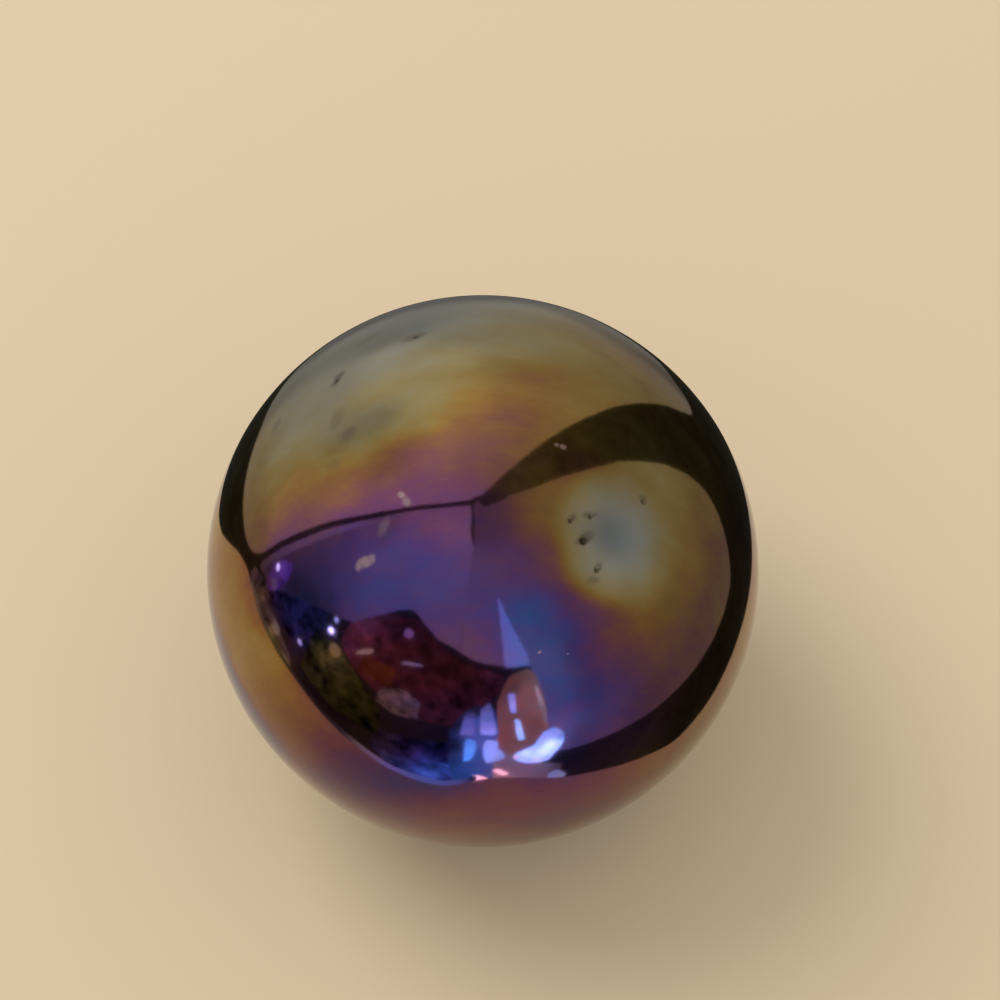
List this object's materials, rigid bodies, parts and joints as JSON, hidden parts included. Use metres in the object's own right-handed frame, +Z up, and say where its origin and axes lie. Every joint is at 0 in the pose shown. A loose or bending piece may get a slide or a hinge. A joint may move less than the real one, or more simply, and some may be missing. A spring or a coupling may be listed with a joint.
{
  "type": "glass marble",
  "caption": "Solid round ball of dark glass with a mirror-bright iridescent lustre and a few tiny open pits; for play, display, a ball track or a round weight.",
  "frame": {"origin": "centre of the ball", "axes": "+Z up; +Z passes through the upper half, which carries the pits; -Y faces the side the picture was taken from"},
  "size_m": [0.025, 0.025, 0.025],
  "materials": {
    "lustre_glass": "opaque dark glass with a mirror-bright lustre that runs from silver and gold through magenta to blue"
  },
  "bodies": {
    "root": {"marble": "lustre_glass"}
  },
  "joints": []
}
